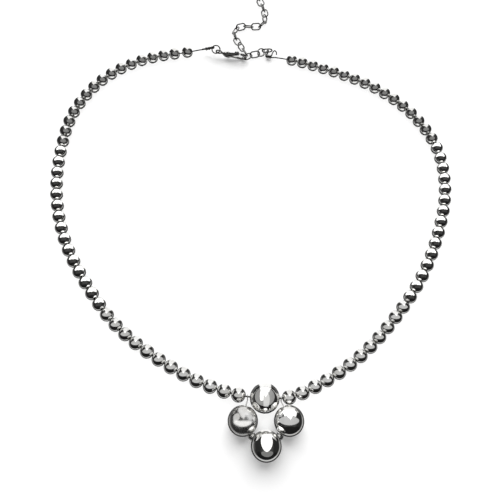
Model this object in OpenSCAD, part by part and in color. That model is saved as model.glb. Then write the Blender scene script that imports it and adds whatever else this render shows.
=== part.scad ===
// Silver bead necklace with a drop of four big balls, laid open on a table.
// X runs to the right, Y away from the drop towards the clasp, Z up from the table.

/* [Beads] */
// Diameter of a string bead
bead_d = 3.98; // [3.6:0.01:3.98]
// Beads on each side of the drop
beads_per_side = 43; // [38:1:43]
// Space between two beads of the left side
left_gap = 0.23; // [0.16:0.01:0.23]
// How much further than even spacing the middle beads of the left side have slid
left_slide = 0.75; // [0:0.05:0.75]
// Space between two beads of the right side
right_gap = 0.1; // [0.1:0.01:0.12]
// Slack before the last left bead, next to the clasp
end_slack = 0.7; // [0:0.1:0.8]
// Diameter of the hole through a bead
bead_hole_d = 1.0; // [0.9:0.05:1.1]

/* [Drop of four balls] */
// Diameter of a big ball
ball_d = 8.3; // [8.0:0.05:8.35]
// Diameter of the hole through a big ball
ball_hole_d = 1.2; // [1.1:0.05:1.3]
// Middle of the drop to the centre of its left and right balls
side_reach = 6.35; // [6.3:0.05:6.6]
// Middle of the drop to the centre of its top ball
top_reach = 6.0; // [5.9:0.05:6.3]
// Middle of the drop to the centre of its bottom ball
bottom_reach = 6.45; // [6.3:0.05:6.8]
// How far the top ball has slid to the left on its wire
top_slide = 0.25; // [0:0.05:0.4]
// Mean space between the top ball and the string bead on each side
ball_gap = 1.15; // [1.1:0.05:1.3]
// How far both strings have slid to the left of even spaces beside the top ball
string_slide = 0.25; // [0:0.05:0.25]
// Diameter of the small bead under each lower joint
joint_bead_d = 2.2; // [1.8:0.05:2.2]
// How far a joint bead sits outside the line between its two balls
joint_bead_out = 0.95; // [0.9:0.05:1.2]

/* [Wire and crimps] */
// Diameter of the stringing wire
wire_d = 0.35; // [0.3:0.01:0.35]
// Diameter of the thinner wire of the drop
drop_wire_d = 0.3; // [0.25:0.05:0.3]
// Outer diameter of a crimp tube
crimp_d = 1.3; // [1.25:0.05:1.35]
// Length of a crimp tube
crimp_l = 1.7; // [1.6:0.05:1.8]

/* [Clasp] */
// Outer diameter of the jump ring between the left crimp and the clasp
ring_d = 3.5; // [3.4:0.05:3.6]
// Diameter of the jump ring's wire
ring_wire_d = 0.5; // [0.45:0.05:0.5]
// Diameter of the hook's round section
hook_d = 1.0; // [0.9:0.05:1.05]
// Height of the clasp's barrel
barrel_h = 2.1; // [2.0:0.05:2.2]
// Width of the clasp's barrel across its cheeks
barrel_w = 1.8; // [1.7:0.05:1.9]
// Thickness of the lever
lever_t = 0.8; // [0.7:0.05:0.8]
// Diameter of the lever's pin
pin_d = 0.6; // [0.5:0.05:0.6]

/* [Extender chain] */
// Length of a link, outside
link_l = 4.15; // [4.12:0.01:4.2]
// Width of a link, outside
link_w = 2.8; // [2.7:0.05:2.9]
// Diameter of a link's wire
link_wire_d = 0.5; // [0.45:0.05:0.5]
// Step from one link to the next along the chain
link_step = 3.0; // [2.98:0.01:3.02]
// Links in the free end
free_links = 14; // [4:1:14]

/* [Hidden] */
$fn = 48;
bead_r = bead_d / 2;
ball_r = ball_d / 2;
drop_mid = [4.45, -69.25, ball_r];

// Balls of the drop: all four rest on the table
top_ball = drop_mid + [-top_slide, top_reach, 0];
left_ball = drop_mid + [-side_reach, 0, 0];
right_ball = drop_mid + [side_reach, 0, 0];
bottom_ball = drop_mid + [0, -bottom_reach, 0];

// Course of the stringing wire over the table, each point with its height above the line
// of beads that lie flat: from the left crimp down the left side, through the top ball,
// and up the right side to the right crimp
left_course = [
    [-15.75, 63.5, 0.9], [-19.6, 63.1, 0.4], [-23.7, 62.4, 0.08], [-32.3, 60.9, 0],
    [-40.5, 58.5, 0], [-54, 49.5, 0], [-62.5, 35.5, 0], [-65, 19, 0], [-64, 2, 0],
    [-59, -14.5, 0], [-50.5, -29, 0], [-39.5, -42.5, 0], [-26, -52.5, 0],
    [-11.5, -59.8, 0.35], [-3.3, -62.3, 1.2], [0, -62.9, 2]];
right_course = [
    [8.4, -63.3, 2], [11.3, -62.9, 1.2], [18.5, -60, 0.35], [32, -51.5, 0],
    [43.5, -40, 0], [53.5, -26.5, 0], [60.5, -12, 0], [65, 4, 0], [64.5, 20, 0],
    [57.5, 34.5, 0], [46, 45.5, 0], [31.5, 53, 0], [23.8, 56, 0], [16, 58.6, 0],
    [12.2, 59.9, -0.4], [7.15, 61.35, -1]];

// Course of the chain's free end, a point at or near each joint of two links
free_course = [
    [-1.1, 61.75], [-2.7, 64.8], [-4.4, 67.4], [-5.5, 70.3], [-6, 73.2], [-4.4, 75.6],
    [-1.6, 76.1], [1.4, 75.7], [4.2, 76.1], [5.8, 78.8], [6.1, 81.9], [5.3, 85.2],
    [4.4, 88.5], [2.7, 91.1], [0.3, 93.3]];
// How far each free link is rolled about its own length: 0 lies flat, 90 stands on edge
free_roll = [60, -65, 5, 65, -35, 60, -30, 60, -45, 55, -15, 60, -15, 55];
chain_z = 1.45;

function unit(v) = v / norm(v);
function free_name(i) = str("free_link_", i < 10 ? "0" : "", i);

// Smooth curve through hand-placed points
function velocity(p, i) =
    let (end = len(p) - 1)
    i == 0 ? unit(p[1] - p[0])
    : i == end ? unit(p[end] - p[end - 1])
    : let (before = norm(p[i] - p[i - 1]), after = norm(p[i + 1] - p[i]))
      (after * (p[i] - p[i - 1]) / before + before * (p[i + 1] - p[i]) / after)
      / (before + after);
function curve_point(p, i, t) =
    let (span = norm(p[i + 1] - p[i]))
    (2 * t ^ 3 - 3 * t ^ 2 + 1) * p[i] + (3 * t ^ 2 - 2 * t ^ 3) * p[i + 1]
    + span * ((t ^ 3 - 2 * t ^ 2 + t) * velocity(p, i) + (t ^ 3 - t ^ 2) * velocity(p, i + 1));
function curve(p, steps) = concat(
    [for (i = [0 : len(p) - 2], k = [0 : steps - 1]) curve_point(p, i, k / steps)],
    [p[len(p) - 1]]);

// Length run along a path at each of its points, and the point at a given run
function runs(path) =
    [for (i = 0, s = 0; i < len(path); i = i + 1,
          s = s + (i < len(path) ? norm(path[i] - path[i - 1]) : 0)) s];
function point_at(path, run, s) =
    [for (axis = [0 : len(path[0]) - 1])
        lookup(s, [for (i = [0 : len(path) - 1]) [run[i], path[i][axis]]])];

function on_table(course) = [for (p = course) [p.x, p.y, bead_r + p.z]];
left_points = on_table(left_course);
right_points = on_table(right_course);
main_path = curve(concat(left_points, [top_ball], right_points), 6);
main_run = runs(main_path);
ball_run = main_run[6 * len(left_points)];
function main_at(s) = point_at(main_path, main_run, s);
function main_dir(s) = unit(main_at(s + 0.5) - main_at(s - 0.5));

// Runs of the bead centres, counted from the drop on each side
last = beads_per_side - 1;
first_left_run = ball_run - ball_r - ball_gap - string_slide - bead_r;
first_right_run = ball_run + ball_r + ball_gap - string_slide + bead_r;
left_runs = [for (i = [0 : last])
    first_left_run - i * (bead_d + left_gap) - left_slide * sin(180 * i / last)
    - (i == last ? end_slack : 0)];
right_runs = [for (i = [0 : last]) first_right_run + i * (bead_d + right_gap)];

// Joints of the free links, one step apart
free_path = curve(free_course, 6);
free_run = runs(free_path);
function free_joint(i) = concat(point_at(free_path, free_run, i * link_step), [chain_z]);

// Place of the origin: under the middle of the whole
last_axis = free_joint(free_links) - free_joint(free_links - 1);
last_dir = unit(last_axis);
last_side = cos(free_roll[free_links - 1]) * last_dir.x;
low_x = min([for (s = left_runs) main_at(s).x]) - bead_r;
high_x = max([for (s = right_runs) main_at(s).x]) + bead_r;
low_y = bottom_ball.y - ball_r;
high_y = (free_joint(free_links) + free_joint(free_links - 1)).y / 2
    + (link_l - link_w) / 2 * last_dir.y
    + (link_w - link_wire_d) / 2 * norm([last_dir.y, last_side]) + link_wire_d / 2;
origin = [(low_x + high_x) / 2, (low_y + high_y) / 2, 0];

// Crimps: centre of the tube, and its direction towards the eye
left_crimp = left_points[0];
left_crimp_dir = unit(left_points[0] - left_points[1]);
right_crimp = right_points[len(right_points) - 1];
right_crimp_dir = unit(right_crimp - right_points[len(right_points) - 2]);
strand_out = 0.25;

// Clasp: centre of its tail eye, and how it stands on its edge, leaning to the front
clasp_at = [-11.6, 62.1, 2.75];
clasp_turn = [103, 3, -11];
ring_turn = [20, 0, 0];
tail_eye_r = 1.0;
tail_wire_d = 0.6;
barrel_mid = [3.2, -0.9];
barrel_l = 4.4;
barrel_slope = -14;
nose_mid = [8.85, -0.3];
nose_r = 1.4;
nose_start = -94;
nose_end = 98;
leg_l = 4.6;
pivot = [3.6, -0.45];
lever_tip = [7.6, 0.9];
lever_tip_r = 0.36;
boss_r = 0.6;
knob_mid = [6.9, 1.3];
knob_r = 0.85;
slot_play = 0.1;
cheek_play = 0.02;
pin_play = 0.05;

// Links between the wire and the clasp: middle, then roll, slope and heading
hooked_place = [[-0.9, 60.9, 1.55], [0, 2, 38]];
link_c_place = [[1.9, 61.95, 1.5], [66, 0, 13]];
link_b_place = [[4.25, 62.95, 1.5], [-5, 0, 87]];
link_a_place = [[6.55, 63.5, 1.85], [-74, -6, -1]];

module at_frame() { translate(-origin) children(); }
module towards(d) { rotate([0, acos(d.z / norm(d)), atan2(d.y, d.x)]) children(); }
module silver() { color([0.8, 0.8, 0.79]) children(); }

// Round bead at p, drilled along d
module drilled_bead(p, d, diameter, hole_d) {
    translate(p) towards(d) difference() {
        sphere(d = diameter);
        cylinder(h = 2 * diameter, d = hole_d, center = true);
    }
}

// Big ball or joint bead at p, drilled from its middle towards each of its neighbours
module bent_drilled_bead(p, diameter, hole_d, neighbours) {
    difference() {
        translate(p) sphere(d = diameter);
        for (q = neighbours)
            translate(p) towards(q - p) cylinder(h = diameter, d = hole_d);
        translate(p) sphere(d = hole_d);
    }
}

module bead_string(string_runs) {
    silver() at_frame() for (s = string_runs)
        drilled_bead(main_at(s), main_dir(s), bead_d, bead_hole_d);
}
module bead_string_left() { bead_string(left_runs); }
module bead_string_right() { bead_string(right_runs); }

// Round wire swept along a path, with a ring of points at each point of the path
function path_dir(p, i) = unit(p[min(i + 1, len(p) - 1)] - p[max(i - 1, 0)]);
function side_of(d, hint) = unit(hint - (hint * d) * d);
function sweep_sides(p, hint) =
    [for (i = 0, n = side_of(path_dir(p, 0), hint); i < len(p); i = i + 1,
          n = i < len(p) ? side_of(path_dir(p, i), n) : n) n];
module swept_wire(p, diameter, sides, hint) {
    n = sweep_sides(p, hint);
    rings = [for (i = [0 : len(p) - 1], k = [0 : sides - 1])
        p[i] + diameter / 2 * (cos(360 * k / sides) * n[i]
            + sin(360 * k / sides) * cross(path_dir(p, i), n[i]))];
    walls = [for (i = [0 : len(p) - 2], k = [0 : sides - 1])
        [i * sides + k, (i + 1) * sides + k,
         (i + 1) * sides + (k + 1) % sides, i * sides + (k + 1) % sides]];
    caps = [[for (k = [0 : sides - 1]) k],
            [for (k = [sides - 1 : -1 : 0]) (len(p) - 1) * sides + k]];
    polyhedron(points = rings, faces = concat(walls, caps));
}

// Ends of the wire, doubled back through their crimps with an eye beyond. Each path
// starts at the cut end and stops where the wire leaves the crimp towards the beads
eye_r = 0.7;
eye_reach = 0.85;
left_side = side_of(left_crimp_dir, [0, -sin(ring_turn.x), cos(ring_turn.x)]);
function left_strand(along, out) = left_crimp + along * left_crimp_dir + out * left_side;
left_end = concat(
    [left_strand(-crimp_l / 2 - 1.3, strand_out), left_strand(crimp_l / 2, strand_out)],
    [for (turn = [105 : -35 : -105])
        left_strand(crimp_l / 2 + eye_reach + eye_r * cos(turn), eye_r * sin(turn))],
    [left_strand(crimp_l / 2, -strand_out), left_strand(-crimp_l / 2 - 0.3, -strand_out)]);
right_side = side_of(right_crimp_dir, [0, 0, 1]);
function right_strand(along, out) = right_crimp + along * right_crimp_dir + out * right_side;
right_end = curve([
    [10.15, 62.7, 0.6], [10, 62.9, 1.7], [9.3, 62.9, 2.4], [8.7, 62.4, 2.1],
    right_strand(-crimp_l / 2 - 0.1, strand_out), right_strand(crimp_l / 2, strand_out),
    [6, 62.1, 1.4], [6.3, 63, 1.6], [6.85, 64.1, 1.4], [7.1, 64.5, 0.85],
    [7.05, 64.3, 0.4], [6.8, 63.75, 0.25], [6.4, 62.9, 0.25], [6, 62.1, 0.55],
    right_strand(crimp_l / 2, -strand_out), right_strand(-crimp_l / 2 - 0.3, -strand_out)], 3);
wire_step = 2.1;
wire_start = crimp_l / 2 + 2;
wire_stop = main_run[len(main_run) - 1] - wire_start;
wire_rings = ceil((wire_stop - wire_start) / wire_step);
function reversed(list) = [for (i = [len(list) - 1 : -1 : 0]) list[i]];

module stringing_wire() {
    silver() at_frame() swept_wire(concat(
        left_end,
        [for (i = [0 : wire_rings])
            main_at(wire_start + i * (wire_stop - wire_start) / wire_rings)],
        reversed(right_end)),
        wire_d, 8, [0.1, 1, 0.1]);
}

module pendant_ball_top() {
    silver() at_frame() drilled_bead(top_ball, main_dir(ball_run), ball_d, ball_hole_d);
}

// Eyes of the drop's wire round the main wire, on each side of the top ball
drop_eye_r = 0.45;
drop_eyes = [for (side = [-1, 1])
    main_at(ball_run + side * (ball_r + (ball_gap - side * string_slide) / 2))];

// Joint beads: out from the middle between two balls, low enough to touch neither
function joint_bead(side_ball) =
    let (middle = (side_ball + bottom_ball) / 2,
         out = unit([middle.x - drop_mid.x, middle.y - drop_mid.y, 0]),
         apart = ball_r + joint_bead_d / 2 + 0.1,
         level = norm([norm(side_ball - bottom_ball) / 2, joint_bead_out]))
    middle + joint_bead_out * out - [0, 0, sqrt(apart ^ 2 - level ^ 2)];
left_joint = joint_bead(left_ball);
right_joint = joint_bead(right_ball);

module pendant_ball_left() {
    silver() at_frame()
        bent_drilled_bead(left_ball, ball_d, ball_hole_d, [drop_eyes[0], left_joint]);
}
module pendant_ball_right() {
    silver() at_frame()
        bent_drilled_bead(right_ball, ball_d, ball_hole_d, [drop_eyes[1], right_joint]);
}
module pendant_ball_bottom() {
    silver() at_frame()
        bent_drilled_bead(bottom_ball, ball_d, ball_hole_d, [left_joint, right_joint]);
}
module joint_bead_left() {
    silver() at_frame()
        bent_drilled_bead(left_joint, joint_bead_d, bead_hole_d, [left_ball, bottom_ball]);
}
module joint_bead_right() {
    silver() at_frame()
        bent_drilled_bead(right_joint, joint_bead_d, bead_hole_d, [right_ball, bottom_ball]);
}

// Wire of the drop: an eye on the main wire, then through ball, joint bead, bottom ball,
// joint bead and ball to the other eye
function drop_eye(e) =
    [for (turn = [150 : -40 : -90]) e + drop_eye_r * [0, cos(turn), sin(turn)]];
function towards_point(p, q, reach) = p + reach * unit(q - p);
module pendant_wire() {
    entry = ball_r - 0.6;
    middle = curve([
        drop_eyes[0] - [0, 0.9, drop_eye_r],
        towards_point(left_ball, drop_eyes[0], entry), left_ball,
        towards_point(left_ball, left_joint, entry), left_joint,
        towards_point(bottom_ball, left_joint, entry), bottom_ball,
        towards_point(bottom_ball, right_joint, entry), right_joint,
        towards_point(right_ball, right_joint, entry), right_ball,
        towards_point(right_ball, drop_eyes[1], entry),
        drop_eyes[1] - [0, 0.9, drop_eye_r]], 4);
    silver() at_frame() swept_wire(
        concat(drop_eye(drop_eyes[0]), middle, reversed(drop_eye(drop_eyes[1]))),
        drop_wire_d, 6, [1, 0.1, 0.1]);
}

module crimp(c, d) {
    silver() at_frame() translate(c) towards(d) difference() {
        cylinder(h = crimp_l, d = crimp_d, center = true);
        cylinder(h = 2 * crimp_l, d = 2 * strand_out + wire_d + 0.1, center = true);
    }
}
module crimp_left() { crimp(left_crimp, left_crimp_dir); }
module crimp_right() { crimp(right_crimp, right_crimp_dir); }

// Closed ring of round wire
module wire_ring(outer_d, wire) {
    rotate_extrude() translate([(outer_d - wire) / 2, 0]) circle(d = wire);
}

// The ring hangs on the left eye, turned in its own plane from there to the clasp
ring_mid = left_crimp + (crimp_l / 2 + eye_reach) * left_crimp_dir
    - (ring_d - ring_wire_d) / 2 * [cos(156), sin(156) * cos(ring_turn.x),
                                    sin(156) * sin(ring_turn.x)];
module clasp_ring() {
    silver() at_frame() translate(ring_mid) rotate(ring_turn) wire_ring(ring_d, ring_wire_d);
}

module in_clasp() { silver() at_frame() translate(clasp_at) rotate(clasp_turn) children(); }
module pin_hole(play) {
    translate([pivot.x, pivot.y, 0]) cylinder(h = 3 * barrel_w, d = pin_d + 2 * play, center = true);
}

// Spindle-shaped barrel, flattened to the width of its cheeks
module barrel() {
    bow_r = (barrel_l ^ 2 / 4 + barrel_h ^ 2 / 4) / barrel_h;
    translate(barrel_mid) rotate([0, 0, barrel_slope]) intersection() {
        rotate([0, 90, 0]) rotate_extrude() intersection() {
            translate([barrel_h / 2 - bow_r, 0]) circle(r = bow_r);
            translate([0, -barrel_l]) square([barrel_h, 2 * barrel_l]);
        }
        cube([2 * barrel_l, 2 * barrel_h, barrel_w], center = true);
    }
}

// Hook: a straight leg that runs into the nose's arc, with a round tip
module hook() {
    translate(nose_mid) {
        rotate([0, 0, nose_start]) rotate_extrude(angle = nose_end - nose_start)
            translate([nose_r, 0]) circle(d = hook_d);
        rotate([0, 0, nose_end]) translate([nose_r, 0, 0]) sphere(d = hook_d);
        rotate([0, 0, nose_start]) translate([nose_r, 0, 0]) rotate([90, 0, 0])
            cylinder(h = leg_l, d = hook_d);
    }
}

module clasp_body() {
    in_clasp() {
        difference() {
            union() {
                wire_ring(2 * tail_eye_r + tail_wire_d, tail_wire_d);
                rotate([0, 0, barrel_slope]) translate([tail_eye_r, 0, 0])
                    rotate([0, 90, 0]) cylinder(h = 1, r = 0.45);
                barrel();
                hook();
            }
            translate([pivot.x - boss_r - slot_play, pivot.y - boss_r - slot_play,
                       -lever_t / 2 - slot_play])
                cube([barrel_l, barrel_h, lever_t + 2 * slot_play]);
            pin_hole(cheek_play);
        }
    }
}

// Lever: a boss on the pin, a bar to the hook's tip and a round thumb knob
module clasp_lever() {
    run = lever_tip - pivot;
    across = [-run.y, run.x] / norm(run);
    in_clasp() difference() {
        union() {
            translate([0, 0, -lever_t / 2]) linear_extrude(lever_t) {
                translate(pivot) circle(r = boss_r);
                translate(lever_tip) circle(r = lever_tip_r);
                polygon([pivot + boss_r * across, lever_tip + lever_tip_r * across,
                         lever_tip - lever_tip_r * across, pivot - boss_r * across]);
            }
            intersection() {
                translate(knob_mid) sphere(r = knob_r);
                translate(knob_mid) cube([4, 4, 1.1], center = true);
            }
        }
        pin_hole(pin_play);
    }
}

module lever_pin() {
    in_clasp() translate(pivot) cylinder(h = barrel_w, d = pin_d, center = true);
}

// Oval link: two half rings and two straight sides, its length along X
module oval_link() {
    bend_r = (link_w - link_wire_d) / 2;
    half_side = (link_l - link_w) / 2;
    for (side = [0, 180]) rotate([0, 0, side]) {
        translate([half_side, 0, 0]) rotate([0, 0, -90]) rotate_extrude(angle = 180)
            translate([bend_r, 0]) circle(d = link_wire_d);
        translate([-half_side, bend_r, 0]) rotate([0, 90, 0])
            cylinder(h = 2 * half_side, d = link_wire_d);
    }
}
module placed_link(place) {
    silver() at_frame() translate(place[0]) rotate(place[1]) oval_link();
}
module hooked_link() { placed_link(hooked_place); }
module chain_link_c() { placed_link(link_c_place); }
module chain_link_b() { placed_link(link_b_place); }
module chain_link_a() { placed_link(link_a_place); }
module free_link(i) {
    from = free_joint(i - 1);
    to = free_joint(i);
    placed_link([(from + to) / 2, [free_roll[i - 1], 0, atan2(to.y - from.y, to.x - from.x)]]);
}

bead_string_left();
bead_string_right();
stringing_wire();
pendant_ball_top();
pendant_ball_left();
pendant_ball_right();
pendant_ball_bottom();
joint_bead_left();
joint_bead_right();
pendant_wire();
crimp_left();
crimp_right();
clasp_ring();
clasp_body();
clasp_lever();
lever_pin();
chain_link_a();
chain_link_b();
chain_link_c();
hooked_link();
for (i = [1 : free_links])
    free_link(i);
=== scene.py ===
import math

import bpy
import numpy as np
from mathutils import Matrix, Vector


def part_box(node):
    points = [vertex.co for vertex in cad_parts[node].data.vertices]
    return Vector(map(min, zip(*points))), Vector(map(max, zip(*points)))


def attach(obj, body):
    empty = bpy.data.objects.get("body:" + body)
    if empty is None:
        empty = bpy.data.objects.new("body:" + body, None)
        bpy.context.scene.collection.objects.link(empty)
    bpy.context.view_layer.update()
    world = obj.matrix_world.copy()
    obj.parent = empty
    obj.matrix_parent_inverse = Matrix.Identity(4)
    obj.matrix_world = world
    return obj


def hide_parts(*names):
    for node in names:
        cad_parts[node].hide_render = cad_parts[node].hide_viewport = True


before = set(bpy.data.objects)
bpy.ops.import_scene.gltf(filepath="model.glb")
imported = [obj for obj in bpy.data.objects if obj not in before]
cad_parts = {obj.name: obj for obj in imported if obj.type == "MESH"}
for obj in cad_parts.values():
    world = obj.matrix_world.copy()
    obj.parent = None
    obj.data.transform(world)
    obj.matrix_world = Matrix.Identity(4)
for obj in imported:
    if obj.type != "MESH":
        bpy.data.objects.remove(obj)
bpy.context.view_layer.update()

# The necklace lies open on a white table, and is looked at from above the wearer's front,
# a little over the drop, with the clasp at the far side.
MM = 0.001
TABLE_WIDE = 3.0
TABLE_TOP = -0.01 * MM
PAPER_WHITE = 0.93
PAPER_ROUGH = 0.9
CAMERA_BACK = -83.6 * MM
CAMERA_SIDE = -0.1 * MM
CAMERA_UP = 148.84 * MM
CAMERA_DOWN = math.radians(68)
CAMERA_LENS = 36
CAMERA_NEAREST = 5 * MM

bpy.ops.object.select_all(action="DESELECT")
bpy.ops.mesh.primitive_plane_add(size=TABLE_WIDE, location=(0, 0, TABLE_TOP))
table = bpy.context.object
table.name = "table"
bpy.ops.object.mode_set(mode="EDIT")
bpy.ops.mesh.subdivide(number_cuts=4)
bpy.ops.object.mode_set(mode="OBJECT")
paper = bpy.data.materials.new("white_paper")
paper.use_nodes = True
paper_shader = paper.node_tree.nodes["Principled BSDF"]
paper_shader.inputs["Base Color"].default_value = (PAPER_WHITE, PAPER_WHITE, PAPER_WHITE, 1)
paper_shader.inputs["Roughness"].default_value = PAPER_ROUGH
paper_shader.inputs["Specular IOR Level"].default_value = 0.0
table.data.materials.append(paper)
table.visible_glossy = False

bpy.ops.object.camera_add(
    location=(CAMERA_SIDE, CAMERA_BACK, CAMERA_UP),
    rotation=(math.radians(90) - CAMERA_DOWN, 0, 0),
)
camera = bpy.context.object
camera.data.lens = CAMERA_LENS
camera.data.sensor_width = 36
camera.data.clip_start = CAMERA_NEAREST
bpy.context.scene.camera = camera

# Studio light: a wide soft lamp hangs behind and above the drop, and pale walls fill in the
# rest. What the silver shows is the room, laid out as in a mirror ball seen from straight
# above: white sweep behind, dim ceiling and walls, dark front, and grey paper underneath.
LAMP_LIGHT = 3.3
LAMP_SPREAD = math.radians(68)
LAMP_TO_BACK = math.radians(-47)
LAMP_TO_SIDE = math.radians(3)
WALL_LIGHT = 0.50
SWEEP_WHITE = 1.08
CEILING_GREY = 0.06
WALL_GREY = 0.025
FAR_WALL_GREY = 0.10
FRONT_DARK = 0.012
PAPER_GREY = 0.44
BACK_PAPER_GREY = 0.12
FRONT_PAPER_WHITE = 0.62
SHADE_DARK = 0.03
ROOM_MIDDLE = 0.05
NOTCH_STEEP = 1.6
CLUTTER_FINE = 2.2
ROOM_UNEVEN = 0.16
OVER_ZERO = 0.0001
sky = bpy.data.worlds.new("studio")
bpy.context.scene.world = sky
sky.use_nodes = True
sky_nodes = sky.node_tree.nodes
sky_links = sky.node_tree.links
sky_nodes.clear()


def sky_math(operation, *values):
    step = sky_nodes.new("ShaderNodeMath")
    step.operation = operation
    for socket, value in zip(step.inputs, values):
        if isinstance(value, (int, float)):
            socket.default_value = value
        else:
            sky_links.new(value, socket)
    return step.outputs[0]


def sky_step(value, starts, full):
    """0 before it starts, 1 once full, with a soft edge between them."""
    fade = sky_nodes.new("ShaderNodeMapRange")
    fade.interpolation_type = "SMOOTHSTEP"
    fade.inputs["From Min"].default_value = starts
    fade.inputs["From Max"].default_value = full
    sky_links.new(value, fade.inputs["Value"])
    return fade.outputs["Result"]


def painted(under, mask, tone):
    """The brightness tone laid over what is under it, where the mask is 1."""
    kept = sky_math("MULTIPLY", under, sky_math("SUBTRACT", 1.0, mask))
    return sky_math("MULTIPLY_ADD", mask, tone, kept)


look = sky_nodes.new("ShaderNodeTexCoord")
look_split = sky_nodes.new("ShaderNodeSeparateXYZ")
sky_links.new(look.outputs["Generated"], look_split.inputs[0])
east, north, up = look_split.outputs
clutter = sky_nodes.new("ShaderNodeTexNoise")
clutter.inputs["Scale"].default_value = CLUTTER_FINE
clutter.inputs["Detail"].default_value = 1
sky_links.new(look.outputs["Generated"], clutter.inputs["Vector"])
clutter_split = sky_nodes.new("ShaderNodeSeparateColor")
sky_links.new(clutter.outputs["Color"], clutter_split.inputs[0])
ball_scale = sky_math("SQRT", sky_math("MAXIMUM", sky_math("MULTIPLY_ADD", up, 2.0, 2.0), OVER_ZERO))


def on_ball(reach, noise):
    """A place on the mirror ball's face, shifted a little so that no edge in it is straight."""
    shift = sky_math("SUBTRACT", noise, 0.5)
    return sky_math("MULTIPLY_ADD", shift, ROOM_UNEVEN, sky_math("DIVIDE", reach, ball_scale))


across = on_ball(east, clutter_split.outputs[0])
along = on_ball(north, clutter_split.outputs[1])
aside = sky_math("ABSOLUTE", sky_math("SUBTRACT", across, ROOM_MIDDLE))
notch = sky_math("MULTIPLY_ADD", aside, -NOTCH_STEEP, along)
flat_reach = sky_math("SQRT", sky_math("SUBTRACT", 1 + OVER_ZERO, sky_math("MULTIPLY", up, up)))
backwards = sky_math("DIVIDE", north, flat_reach)
paper_tone = painted(PAPER_GREY, sky_step(backwards, 0.1, 0.6), BACK_PAPER_GREY)
room = WALL_GREY
# Each part of the room: its tone, then where it starts and is full on each measure it keeps to.
for tone, *edges in (
    (FAR_WALL_GREY, (aside, 0.72, 0.86)),
    (paper_tone, (up, -0.34, -0.50)),
    (CEILING_GREY, (aside, 0.46, 0.32), (along, -0.46, -0.34), (up, -0.1, 0.1)),
    (FRONT_DARK, (along, -0.34, -0.44), (up, -0.50, -0.34), (aside, 0.72, 0.60)),
    (FRONT_PAPER_WHITE, (up, -0.38, -0.50), (backwards, -0.5, -0.8)),
    (SWEEP_WHITE, (aside, 0.40, 0.32), (notch, -0.04, 0.07)),
    (SHADE_DARK, (up, -0.62, -0.74), (along, 0.7, 0.4)),
):
    mask = 1.0
    for measure, starts, full in edges:
        mask = sky_math("MULTIPLY", mask, sky_step(measure, starts, full))
    room = painted(room, mask, tone)


def glowing(strength):
    glow = sky_nodes.new("ShaderNodeBackground")
    glow.inputs["Color"].default_value = (1, 1, 1, 1)
    glow.inputs["Strength"].default_value = strength
    return glow


def one_of(mask, first, second):
    mix = sky_nodes.new("ShaderNodeMixShader")
    for socket, value in zip(mix.inputs, (mask, first, second)):
        sky_links.new(value, socket)
    return mix.outputs[0]


mirrored_room = glowing(1.0)
sky_links.new(room, mirrored_room.inputs["Strength"])
pale_walls = glowing(WALL_LIGHT)
white_backdrop = glowing(1.0)
ray = sky_nodes.new("ShaderNodeLightPath")
first_mirrored = sky_math(
    "MULTIPLY", ray.outputs["Is Glossy Ray"], sky_math("LESS_THAN", ray.outputs["Diffuse Depth"], 0.5)
)
lit = one_of(first_mirrored, pale_walls.outputs[0], mirrored_room.outputs[0])
seen = one_of(ray.outputs["Is Camera Ray"], lit, white_backdrop.outputs[0])
sky_out = sky_nodes.new("ShaderNodeOutputWorld")
sky_links.new(seen, sky_out.inputs[0])
bpy.context.scene.view_settings.view_transform = "Standard"

bpy.ops.object.select_all(action="DESELECT")
bpy.ops.object.light_add(type="SUN", rotation=(LAMP_TO_BACK, LAMP_TO_SIDE, 0))
lamp = bpy.context.object
lamp.data.energy = LAMP_LIGHT
lamp.data.angle = LAMP_SPREAD
lamp.visible_glossy = False
lamp_shades = bpy.data.collections.new("what_shades_the_lamp")
lamp.light_linking.blocker_collection = lamp_shades

# White cards: lit boards that stand close round the silver, as a photographer sets them, for
# it to mirror. Each is turned to one ball or group of beads, and only that mirrors it.
CARD_AWAY = 0.3
CARD_POWER = 4
CARD_GRAZING = 0.15
FACE_STEP = 0.01


def white_card(name, stand, wide, high, shape, light):
    """A lit card of a given brightness. Only the pieces put in what it returns mirror it."""
    bpy.ops.object.select_all(action="DESELECT")
    bpy.ops.object.light_add(type="AREA")
    card = bpy.context.object
    card.name = name
    card.data.shape = shape
    card.data.size = wide
    card.data.size_y = high
    card.data.energy = CARD_POWER * light * wide * high
    card.matrix_world = stand
    card.visible_camera = False
    mirrors = bpy.data.collections.new(name + "_mirrors")
    card.light_linking.receiver_collection = mirrors
    return mirrors


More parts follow.
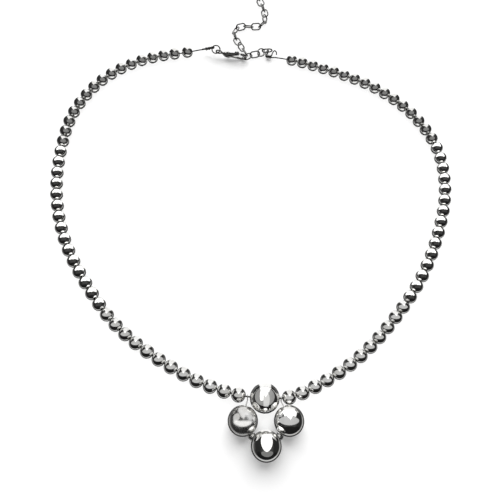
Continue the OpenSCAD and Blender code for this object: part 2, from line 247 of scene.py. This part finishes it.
def card_stand(middle, spot, patch):
    """Where a card stands, and its width and height, for a ball at middle to show it at a spot
    of its face: spot and patch are in ball radii, to the right and up in the picture."""
    to_camera = (camera.location - middle).normalized()
    camera_up = Vector((0, math.sin(CAMERA_DOWN), math.cos(CAMERA_DOWN)))
    right = camera_up.cross(to_camera).normalized()
    top = to_camera.cross(right)

    def mirrored(across_face, up_face):
        depth = math.sqrt(1 - across_face ** 2 - up_face ** 2)
        facing = right * across_face + top * up_face + to_camera * depth
        return 2 * facing.dot(to_camera) * facing - to_camera

    ray_out = mirrored(*spot)
    on_right = mirrored(spot[0] + FACE_STEP, spot[1])
    on_left = mirrored(spot[0] - FACE_STEP, spot[1])
    x_axis = (on_right - on_left).normalized()
    y_axis = ray_out.cross(x_axis)
    ends = []
    for half_wide, half_high, axis in (
        (-0.5, 0, x_axis), (0.5, 0, x_axis), (0, -0.5, y_axis), (0, 0.5, y_axis),
    ):
        ray_end = mirrored(spot[0] + half_wide * patch[0], spot[1] + half_high * patch[1])
        ends.append(ray_end.dot(axis) * CARD_AWAY / max(ray_end.dot(ray_out), CARD_GRAZING))
    stand = Matrix((x_axis, y_axis, ray_out)).transposed().to_4x4()
    shift = x_axis * (ends[0] + ends[1]) / 2 + y_axis * (ends[2] + ends[3]) / 2
    stand.translation = middle + ray_out * CARD_AWAY + shift
    return stand, abs(ends[1] - ends[0]), abs(ends[3] - ends[2])


# Every silver piece has been polished and worn: the polish is never quite even, and soft
# scuffs and fine hairlines lie in it. All the silver takes this wear at its own size.
TARNISH = (0.84, 0.83, 0.81, 1)
TARNISH_UP_TO = 0.3
BRIGHT_FROM = 0.65
BEST_POLISH = 0.02
HAIRLINES_FINE = 900
DENTS_FINE = 230
DENTS_STRONG = 3.0
WEAR_DEEP = 0.02 * MM
SILVER_WARMTH = 0.99
wear = bpy.data.node_groups.new("handling_wear", "ShaderNodeTree")
for label, kind, side in (
    ("Patch Size", "NodeSocketFloat", "INPUT"),
    ("Dull", "NodeSocketFloat", "INPUT"),
    ("Wave", "NodeSocketFloat", "INPUT"),
    ("Metal", "NodeSocketColor", "INPUT"),
    ("Tint", "NodeSocketColor", "OUTPUT"),
    ("Roughness", "NodeSocketFloat", "OUTPUT"),
    ("Height", "NodeSocketFloat", "OUTPUT"),
):
    wear.interface.new_socket(name=label, in_out=side, socket_type=kind)
wear_in = wear.nodes.new("NodeGroupInput")
wear_out = wear.nodes.new("NodeGroupOutput")
wear_place = wear.nodes.new("ShaderNodeTexCoord")


def wear_noise(detail, fine=1.0):
    noise = wear.nodes.new("ShaderNodeTexNoise")
    noise.inputs["Scale"].default_value = fine
    noise.inputs["Detail"].default_value = detail
    wear.links.new(wear_place.outputs["Object"], noise.inputs["Vector"])
    return noise


def wear_math(operation, *values):
    step = wear.nodes.new("ShaderNodeMath")
    step.operation = operation
    for socket, value in zip(step.inputs, values):
        if isinstance(value, float):
            socket.default_value = value
        else:
            wear.links.new(value, socket)
    return step.outputs[0]


patches = wear_noise(detail=3)
wear.links.new(wear_in.outputs["Patch Size"], patches.inputs["Scale"])
tint = wear.nodes.new("ShaderNodeValToRGB")
tint.color_ramp.elements[0].position = TARNISH_UP_TO
tint.color_ramp.elements[0].color = TARNISH
tint.color_ramp.elements[1].position = BRIGHT_FROM
tint.color_ramp.elements[1].color = (1, 1, 1, 1)
wear.links.new(patches.outputs["Fac"], tint.inputs["Fac"])
metal_tint = wear.nodes.new("ShaderNodeMix")
metal_tint.data_type = "RGBA"
metal_tint.blend_type = "MULTIPLY"
metal_tint.inputs["Factor"].default_value = 1.0
wear.links.new(tint.outputs["Color"], metal_tint.inputs["A"])
wear.links.new(wear_in.outputs["Metal"], metal_tint.inputs["B"])
wear.links.new(metal_tint.outputs["Result"], wear_out.inputs["Tint"])
gloss = wear_math("MULTIPLY_ADD", patches.outputs["Fac"], wear_in.outputs["Dull"], BEST_POLISH)
wear.links.new(gloss, wear_out.inputs["Roughness"])
hairlines = wear_noise(detail=2, fine=HAIRLINES_FINE)
scratched = wear_math("MULTIPLY", hairlines.outputs["Fac"], wear_in.outputs["Wave"])
dents = wear_noise(detail=0, fine=DENTS_FINE)
uneven = wear_math("MULTIPLY_ADD", dents.outputs["Fac"], DENTS_STRONG, scratched)
wear.links.new(uneven, wear_out.inputs["Height"])


def worn_metal(name, tone, patch_size, dull, wave):
    metal = bpy.data.materials.new(name)
    metal.use_nodes = True
    nodes = metal.node_tree.nodes
    links = metal.node_tree.links
    shader = nodes["Principled BSDF"]
    shader.inputs["Metallic"].default_value = 1.0
    use = nodes.new("ShaderNodeGroup")
    use.node_tree = wear
    use.inputs["Metal"].default_value = (tone, tone, SILVER_WARMTH * tone, 1)
    use.inputs["Patch Size"].default_value = patch_size
    use.inputs["Dull"].default_value = dull
    use.inputs["Wave"].default_value = wave
    links.new(use.outputs["Tint"], shader.inputs["Base Color"])
    links.new(use.outputs["Roughness"], shader.inputs["Roughness"])
    bump = nodes.new("ShaderNodeBump")
    bump.inputs["Distance"].default_value = WEAR_DEEP
    bump.inputs["Strength"].default_value = 1.0
    links.new(use.outputs["Height"], bump.inputs["Height"])
    links.new(bump.outputs["Normal"], shader.inputs["Normal"])
    return metal


# String beads: hollow silver balls of 4 mm, turned smooth and burnished, with a hole right
# through whose lip is rolled inwards. 43 are threaded on each side of the drop.
BEAD_WIDE = 3.98 * MM
BEAD_HOLE = 1.0 * MM
BEAD_LIP = 0.08 * MM
BEAD_AIR = 0.03 * MM
BEAD_TURN = 2.4
SAME_POINT = 0.001 * MM
# Each side's parts: first bead, the one after the last, then its cards (spot, patch, shape, light).
BEAD_PARTS = {
    "near": (0, 12, [((0.0, 0.04), (1.3, 0.66), "ELLIPSE", 0.34)]),
    "beside": (12, 27, [((0.0, 0.6), (1.45, 0.5), "ELLIPSE", 0.95)]),
    "far": (27, 43, [
        ((0.05, -0.54), (0.9, 0.22), "ELLIPSE", 0.55),
        ((0.05, 0.1), (0.9, 0.6), "ELLIPSE", 0.12),
    ]),
}
bead_silver = worn_metal("bead_silver", tone=0.92, patch_size=350, dull=0.10, wave=0.25)

bpy.ops.object.select_all(action="DESELECT")
bpy.ops.mesh.primitive_uv_sphere_add(segments=40, ring_count=26, radius=BEAD_WIDE / 2)
bead = bpy.context.object
hole_level = math.sqrt((BEAD_WIDE / 2) ** 2 - (BEAD_HOLE / 2) ** 2)
bpy.ops.object.mode_set(mode="EDIT")
for side in (1, -1):
    bpy.ops.mesh.select_all(action="SELECT")
    bpy.ops.mesh.bisect(
        plane_co=(0, 0, side * hole_level), plane_no=(0, 0, side), clear_outer=True, threshold=1e-7
    )
bpy.ops.mesh.select_all(action="DESELECT")
bpy.ops.mesh.select_mode(type="EDGE")
bpy.ops.mesh.select_non_manifold(extend=False)
bpy.ops.mesh.bridge_edge_loops()
bpy.ops.object.mode_set(mode="OBJECT")
for edge in bead.data.edges:
    ends = [bead.data.vertices[k].co for k in edge.vertices]
    edge.select = all(abs(abs(p.z) - hole_level) < SAME_POINT for p in ends)
bpy.ops.object.mode_set(mode="EDIT")
bpy.ops.mesh.bevel(offset=BEAD_LIP, segments=3)
bpy.ops.mesh.select_all(action="SELECT")
bpy.ops.mesh.normals_make_consistent(inside=False)
bpy.ops.object.mode_set(mode="OBJECT")
bpy.ops.object.shade_smooth()
bead.data.materials.append(bead_silver)


def solids_of(node):
    """Corner points of each separate solid of a CAD node, from a merged copy of its mesh."""
    bpy.ops.object.select_all(action="DESELECT")
    scratch = bpy.data.objects.new("scratch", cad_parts[node].data.copy())
    bpy.context.collection.objects.link(scratch)
    scratch.select_set(True)
    bpy.context.view_layer.objects.active = scratch
    bpy.ops.object.mode_set(mode="EDIT")
    bpy.ops.mesh.select_all(action="SELECT")
    bpy.ops.mesh.remove_doubles(threshold=SAME_POINT)
    bpy.ops.mesh.separate(type="LOOSE")
    bpy.ops.object.mode_set(mode="OBJECT")
    pieces = list(bpy.context.selected_objects)
    points = [[v.co.copy() for v in piece.data.vertices] for piece in pieces]
    for piece in pieces:
        bpy.data.objects.remove(piece)
    return points


def middle_of(points):
    low = Vector([min(p[k] for p in points) for k in range(3)])
    high = Vector([max(p[k] for p in points) for k in range(3)])
    return (low + high) / 2


def centre_of(node):
    low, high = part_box(node)
    return (low + high) / 2


def threaded(centres, start):
    """Centres in the order in which they are met along the string, from start on."""
    left = list(centres)
    order = []
    here = start
    while left:
        here = min(left, key=lambda c: (c - here).length)
        left.remove(here)
        order.append(here)
    return order


def join_all(pieces, name):
    bpy.ops.object.select_all(action="DESELECT")
    for piece in pieces:
        piece.select_set(True)
    bpy.context.view_layer.objects.active = pieces[0]
    bpy.ops.object.join()
    whole = bpy.context.object
    whole.name = name
    return whole


drop_middle = centre_of("pendant_ball_top")
bead_courses = {}
for side in ("left", "right"):
    course = threaded([middle_of(points) for points in solids_of("bead_string_" + side)], drop_middle)
    bead_courses[side] = course
    closest = min((a - b).length for a, b in zip(course, course[1:]))
    grown = (closest - BEAD_AIR) / BEAD_WIDE
    lifted = Vector((0, 0, (grown - 1) * BEAD_WIDE / 2))
    copies = []
    for place, centre in enumerate(course):
        before = course[max(place - 1, 0)]
        after = course[min(place + 1, len(course) - 1)]
        copy = bpy.data.objects.new("bead", bead.data.copy())
        bpy.context.collection.objects.link(copy)
        way = (after - before).to_track_quat("Z", "Y").to_matrix().to_4x4()
        turn = Matrix.Rotation(place * BEAD_TURN, 4, "Z") @ Matrix.Scale(grown, 4)
        copy.data.transform(Matrix.Translation(centre + lifted) @ way @ turn)
        copies.append(copy)
    for part, (first, last, cards) in BEAD_PARTS.items():
        beads = join_all(copies[first:last], "beads_%s_%s" % (side, part))
        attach(beads, "necklace")
        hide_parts("bead_string_" + side)
        for number, (spot, patch, shape, light) in enumerate(cards):
            stand = card_stand(course[(first + last) // 2], spot, patch)
            mirrors = white_card("card_%s_%s_%d" % (side, part, number), *stand, shape, light)
            mirrors.objects.link(beads)
bpy.data.objects.remove(bead)

# Drop: four big hollow balls, the top one on the main wire and three on a thinner wire of
# their own, which passes a small bead under each of the two lower joints.
BALL_HOLE = 1.2 * MM
BALL_ROUNDNESS = (96, 64)
JOINT_HOLE = 1.0 * MM
JOINT_ROUNDNESS = (48, 32)
DRILL_REACH = 1.2
HOLE_EDGE = math.radians(35)
# The left ball's silver is rougher and more wavy, as scuffed. Its tone is also darker than the other
# balls': that darker tone is painted shade, which keeps the white sweep it mirrors dim.
scuffed_shaded_silver = worn_metal("scuffed_shaded_silver", tone=0.76, patch_size=260, dull=0.4, wave=0.6)
ball_silver = worn_metal("ball_silver", tone=0.96, patch_size=180, dull=0.08, wave=0.25)


def drilled_ball(name, node, hole, drill_towards, roundness, metal=ball_silver):
    """A round ball where a CAD node is, drilled from its middle towards each given point."""
    low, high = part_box(node)
    centre = (low + high) / 2
    radius = max(high - low) / 2
    bpy.ops.object.select_all(action="DESELECT")
    bpy.ops.mesh.primitive_uv_sphere_add(
        segments=roundness[0], ring_count=roundness[1], radius=radius, location=centre
    )
    ball = bpy.context.object
    ball.name = name
    bpy.ops.object.transform_apply(location=True, rotation=True, scale=True)
    for target in drill_towards:
        way = (target - centre).normalized()
        bpy.ops.mesh.primitive_cylinder_add(
            vertices=32, radius=hole / 2, depth=DRILL_REACH * radius,
            location=centre + way * DRILL_REACH / 2 * radius,
            rotation=way.to_track_quat("Z", "Y").to_euler(),
        )
        drill = bpy.context.object
        cut = ball.modifiers.new("hole", "BOOLEAN")
        cut.operation = "DIFFERENCE"
        cut.object = drill
        bpy.ops.object.select_all(action="DESELECT")
        bpy.context.view_layer.objects.active = ball
        ball.select_set(True)
        bpy.ops.object.modifier_apply(modifier="hole")
        bpy.data.objects.remove(drill)
    bpy.ops.object.shade_smooth_by_angle(angle=HOLE_EDGE)
    ball.data.materials.append(metal)
    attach(ball, "necklace")
    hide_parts(node)
    return ball


def gap_beside_top(bead_centre):
    """The middle of the gap between the top ball and the bead beside it."""
    top_low, top_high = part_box("pendant_ball_top")
    way = (bead_centre - drop_middle).normalized()
    reach = (bead_centre - drop_middle).length
    return drop_middle + way * ((top_high.x - top_low.x) / 2 + reach - BEAD_WIDE / 2) / 2


first_left = bead_courses["left"][0]
first_right = bead_courses["right"][0]
eye_left = gap_beside_top(first_left)
eye_right = gap_beside_top(first_right)
joint_left = centre_of("joint_bead_left")
joint_right = centre_of("joint_bead_right")
left_middle = centre_of("pendant_ball_left")
right_middle = centre_of("pendant_ball_right")
bottom_middle = centre_of("pendant_ball_bottom")
highest = drilled_ball(
    "ball_top", "pendant_ball_top", BALL_HOLE, [first_left, first_right], BALL_ROUNDNESS
)
lower_left = drilled_ball(
    "ball_left", "pendant_ball_left", BALL_HOLE, [eye_left, joint_left], BALL_ROUNDNESS,
    metal=scuffed_shaded_silver,
)
lower_right = drilled_ball(
    "ball_right", "pendant_ball_right", BALL_HOLE, [eye_right, joint_right], BALL_ROUNDNESS
)
lowest = drilled_ball(
    "ball_bottom", "pendant_ball_bottom", BALL_HOLE, [joint_left, joint_right], BALL_ROUNDNESS
)
for side, ball_middle in (("left", left_middle), ("right", right_middle)):
    drilled_ball(
        "joint_ball_" + side, "joint_bead_" + side, JOINT_HOLE, [ball_middle, bottom_middle],
        JOINT_ROUNDNESS,
    )
for ball in (lower_left, lower_right, lowest):
    lamp_shades.objects.link(ball)
# Each card: the ball that mirrors it, the ball's middle, spot, patch, shape and light.
ball_cards = (
    (highest, drop_middle, (-0.2, 0.22), (0.24, 0.75), "RECTANGLE", 1.0),
    (highest, drop_middle, (0.12, -0.1), (0.42, 0.9), "RECTANGLE", 0.3),
    (highest, drop_middle, (0.0, 0.1), (1.5, 1.2), "ELLIPSE", 0.2),
    (lower_left, left_middle, (0.0, -0.17), (1.25, 0.36), "ELLIPSE", 0.75),
    (lower_left, left_middle, (-0.4, 0.22), (0.45, 0.5), "ELLIPSE", 0.5),
    (lower_left, left_middle, (0.45, 0.28), (0.4, 0.5), "ELLIPSE", 0.5),
    (lower_right, right_middle, (0.05, 0.52), (0.9, 0.4), "RECTANGLE", 1.0),
    (lower_right, right_middle, (0.0, 0.02), (1.4, 0.58), "RECTANGLE", 0.4),
    (lower_right, right_middle, (-0.55, 0.45), (0.4, 0.45), "RECTANGLE", 0.35),
    (lowest, bottom_middle, (0.04, 0.2), (0.74, 1.05), "ELLIPSE", 0.95),
    (lowest, bottom_middle, (0.06, -0.48), (0.8, 0.35), "ELLIPSE", 0.13),
)
for number, (ball, middle, spot, patch, shape, light) in enumerate(ball_cards):
    mirrors = white_card("card_%d" % number, *card_stand(middle, spot, patch), shape, light)
    mirrors.objects.link(ball)

# Cable: fine steel strands twisted together and coated, through all the beads and the top
# ball. It shows between the beads and at its ends, which are doubled back through the crimps.
CABLE_COAT = 0.04 * MM
STRANDS_FINE = 900
ROUND_EDGE = math.radians(60)
wire_steel = worn_metal("wire_steel", tone=0.09, patch_size=600, dull=0.5, wave=0.3)
steel_nodes = wire_steel.node_tree.nodes
steel_links = wire_steel.node_tree.links
strands = steel_nodes.new("ShaderNodeTexWave")
strands.bands_direction = "DIAGONAL"
strands.inputs["Scale"].default_value = STRANDS_FINE
strand_place = steel_nodes.new("ShaderNodeTexCoord")
steel_links.new(strand_place.outputs["Object"], strands.inputs["Vector"])
twist = steel_nodes.new("ShaderNodeMath")
twist.operation = "ADD"
steel_links.new(strands.outputs["Fac"], twist.inputs[0])
for link in list(steel_links):
    if link.to_socket.name == "Height":
        steel_links.new(link.from_socket, twist.inputs[1])
        steel_links.new(twist.outputs[0], link.to_socket)


def smooth_copy(node, name, metal, body="necklace", edge=ROUND_EDGE):
    """A CAD node's own shape, merged and smooth but for edges sharper than the given angle."""
    bpy.ops.object.select_all(action="DESELECT")
    copy = bpy.data.objects.new(name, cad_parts[node].data.copy())
    bpy.context.collection.objects.link(copy)
    copy.select_set(True)
    bpy.context.view_layer.objects.active = copy
    copy.data.materials.clear()
    copy.data.materials.append(metal)
    bpy.ops.object.mode_set(mode="EDIT")
    bpy.ops.mesh.select_all(action="SELECT")
    bpy.ops.mesh.remove_doubles(threshold=SAME_POINT)
    bpy.ops.object.mode_set(mode="OBJECT")
    bpy.ops.object.shade_smooth_by_angle(angle=edge)
    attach(copy, body)
    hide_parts(node)
    return copy


cable = smooth_copy("stringing_wire", "cable", wire_steel)
cable_points = [v.co.copy() for v in cable.data.vertices]
bpy.ops.object.mode_set(mode="EDIT")
bpy.ops.mesh.select_all(action="SELECT")
bpy.ops.transform.shrink_fatten(value=CABLE_COAT)
bpy.ops.object.mode_set(mode="OBJECT")

# Drop wire: one thinner bright silver wire through the three lower balls and the two joint
# balls, with an eye round the cable on each side of the top ball.
drop_silver = worn_metal("drop_wire_silver", tone=0.8, patch_size=600, dull=0.3, wave=0.3)
smooth_copy("pendant_wire", "drop_wire", drop_silver)

# Crimps: short silver tubes with rounded lips, one at each end of the cable. Pliers have
# squeezed each flat in its middle, square to the two strands that lie side by side in it.
CRIMP_WALL = 0.16 * MM
CRIMP_LIP = 0.05 * MM
CRIMP_EDGE = math.radians(50)
RIM_FROM = 0.9
MOUTH_NEAR = 0.2 * MM
MOUTH_WIDE = 1.3 * MM
ON_PLACE = 0.01 * MM
# How far from the middle, in lengths of the tube, and how thick the pliers left it there.
CRIMP_FLATTENED = ((0.49, 1.0), (0.29, 0.91), (0.12, 0.75), (0.0, 0.72))
crimp_silver = worn_metal("crimp_silver", tone=0.5, patch_size=500, dull=0.2, wave=0.3)


def main_axes(points):
    """Middle of a cloud of points, its own axes from the longest to the shortest, its sizes."""
    cloud = np.array([tuple(p) for p in points])
    axes = np.linalg.eigh(np.cov((cloud - cloud.mean(axis=0)).T))[1][:, ::-1].T
    along_axes = cloud @ axes.T
    sizes = along_axes.max(axis=0) - along_axes.min(axis=0)
    centre = Vector((along_axes.max(axis=0) + along_axes.min(axis=0)) / 2 @ axes)
    axes = [Vector(a) for a in axes]
    axes[2] = axes[0].cross(axes[1])
    return centre, axes, [float(size) for size in sizes]


def pick(piece, wanted):
    """In edit mode, select just those corner points of a piece that are wanted."""
    bpy.ops.mesh.select_mode(type="VERT")
    bpy.ops.mesh.select_all(action="DESELECT")
    bpy.ops.object.mode_set(mode="OBJECT")
    for vertex in piece.data.vertices:
        vertex.select = wanted(vertex.co)
    bpy.ops.object.mode_set(mode="EDIT")


for side in ("left", "right"):
    tube = solids_of("crimp_" + side)[0]
    tube_middle = middle_of(tube)
    farthest = max((p - tube_middle).length for p in tube)
    rims = [p for p in tube if (p - tube_middle).length > RIM_FROM * farthest]
    centre, axes, _ = main_axes(rims)
    crimp_way = axes[0]
    crimp_long = max((p - centre).dot(crimp_way) for p in tube) * 2
    crimp_wide = 2 * max(((p - centre) - crimp_way * (p - centre).dot(crimp_way)).length for p in tube)
    mouth = [
        p for p in cable_points
        if abs(abs((p - centre).dot(crimp_way)) - crimp_long / 2) < MOUTH_NEAR
        and (p - centre).length < MOUTH_WIDE
    ]
    flat = [(p - centre) - crimp_way * (p - centre).dot(crimp_way) for p in mouth]
    strand_way = main_axes(flat)[1][0]
    strand_way = (strand_way - crimp_way * strand_way.dot(crimp_way)).normalized()
    bpy.ops.object.select_all(action="DESELECT")
    bpy.ops.mesh.primitive_cylinder_add(
        vertices=32, radius=crimp_wide / 2, depth=crimp_long, end_fill_type="NOTHING"
    )
    crimp = bpy.context.object
    crimp.name = "crimp_tube_" + side
    bpy.ops.object.mode_set(mode="EDIT")
    for end in (1, -1):
        for level, _ in CRIMP_FLATTENED:
            bpy.ops.mesh.select_all(action="SELECT")
            bpy.ops.mesh.bisect(plane_co=(0, 0, end * level * crimp_long), plane_no=(0, 0, 1))
    for level, flattened in CRIMP_FLATTENED:
        pick(crimp, lambda p: abs(abs(p.z) - level * crimp_long) < ON_PLACE)
        bpy.ops.transform.resize(value=(1, flattened, 1), center_override=(0, 0, 0))
    bpy.ops.object.mode_set(mode="OBJECT")
    wall = crimp.modifiers.new("wall", "SOLIDIFY")
    wall.thickness = CRIMP_WALL
    wall.offset = -1
    lip = crimp.modifiers.new("lip", "BEVEL")
    lip.width = CRIMP_LIP
    lip.segments = 3
    lip.limit_method = "ANGLE"
    lip.angle_limit = CRIMP_EDGE
    for modifier in ("wall", "lip"):
        bpy.ops.object.modifier_apply(modifier=modifier)
    stand = Matrix((strand_way, crimp_way.cross(strand_way), crimp_way)).transposed().to_4x4()
    crimp.data.transform(Matrix.Translation(centre) @ stand)
    bpy.ops.object.shade_smooth_by_angle(angle=CRIMP_EDGE)
    crimp.data.materials.append(crimp_silver)
    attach(crimp, "necklace")
    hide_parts("crimp_" + side)
    lamp_shades.objects.link(crimp)

# Jump ring: round silver wire wound on a rod and cut, its two ends butted together but not
# soldered, so a fine groove runs round the wire there. It joins the cable to the clasp.
RING_SEAM = 0.80
SEAM_BESIDE = 0.05 * MM
SEAM_REACH = 0.14 * MM
AT_SEAM = 0.02 * MM
# The silver of the jump ring and chain is toned far darker than the beads': this is painted shade, so
# that the thin wire shows dark grey.
shaded_chain_silver = worn_metal("shaded_chain_silver", tone=0.5, patch_size=400, dull=0.12, wave=0.3)


def bent_wire(name, node, seam):
    """A ring or oval link of round wire where a CAD node is, with a seam in one side: ends
    that are butted leave a groove (seam under 1), and solder leaves a swelling (over 1)."""
    centre, axes, (long, wide, thick) = main_axes(solids_of(node)[0])
    bend = (wide - thick) / 2
    bpy.ops.object.select_all(action="DESELECT")
    bpy.ops.mesh.primitive_torus_add(
        major_segments=48, minor_segments=16, major_radius=bend, minor_radius=thick / 2
    )
    wire = bpy.context.object
    wire.name = name
    bpy.ops.object.mode_set(mode="EDIT")
    for end in (1, -1):
        pick(wire, lambda p: end * p.x > ON_PLACE)
        bpy.ops.transform.translate(value=(end * (long - wide) / 2, 0, 0))
    for cut in (-SEAM_REACH, -SEAM_BESIDE, SEAM_BESIDE, SEAM_REACH):
        bpy.ops.mesh.select_all(action="SELECT")
        bpy.ops.mesh.bisect(plane_co=(cut, 0, 0), plane_no=(1, 0, 0))
    beside_seam = (1 + seam) / 2 if seam > 1 else 1
    for cut, grown in ((0, seam), (SEAM_BESIDE, beside_seam)):
        pick(wire, lambda p: p.y > 0 and abs(abs(p.x) - cut) < AT_SEAM)
        bpy.ops.transform.resize(value=(1, grown, grown), center_override=(0, bend, 0))
    bpy.ops.object.mode_set(mode="OBJECT")
    stand = Matrix(axes).transposed().to_4x4()
    wire.data.transform(Matrix.Translation(centre) @ stand)
    bpy.ops.object.shade_smooth()
    wire.data.materials.append(shaded_chain_silver)
    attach(wire, "necklace")
    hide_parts(node)
    return wire


jump_ring = bent_wire("jump_ring", "clasp_ring", RING_SEAM)

# Clasp: a lobster clasp cast in silver, its edges rounded by the mould and the tumbling. A
# lever turns on a pin between the cheeks of its barrel and shuts the mouth of its hook.
CAST_GRAIN = 0.05 * MM
CAST_SOFTENING = 10
PIN_EDGE = math.radians(35)
clasp_silver = worn_metal("clasp_silver", tone=0.8, patch_size=300, dull=0.15, wave=0.4)


def cast_copy(node, name, body):
    """A CAD node's shape with its edges softened as in a casting."""
    casting = smooth_copy(node, name, clasp_silver, body)
    bpy.ops.object.select_all(action="DESELECT")
    casting.select_set(True)
    bpy.context.view_layer.objects.active = casting
    grain = casting.modifiers.new("grain", "REMESH")
    grain.mode = "VOXEL"
    grain.voxel_size = CAST_GRAIN
    grain.use_smooth_shade = True
    soft = casting.modifiers.new("soft", "SMOOTH")
    soft.factor = 0.5
    soft.iterations = CAST_SOFTENING
    for modifier in ("grain", "soft"):
        bpy.ops.object.modifier_apply(modifier=modifier)
    return casting


clasp = cast_copy("clasp_body", "clasp", "necklace")
lever = cast_copy("clasp_lever", "lever", "clasp_lever")
smooth_copy("lever_pin", "pin", clasp_silver, edge=PIN_EDGE)
for shading in (clasp, lever, jump_ring):
    lamp_shades.objects.link(shading)

# Extender chain: oval links of round silver wire, each soldered shut in the middle of one
# side. Four join the other crimp to the clasp's hook, and the rest hang free from the hook.
LINK_SEAM = 1.10
for node in sorted(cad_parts):
    if "link" in node:
        bent_wire(node + "_wire", node, LINK_SEAM)
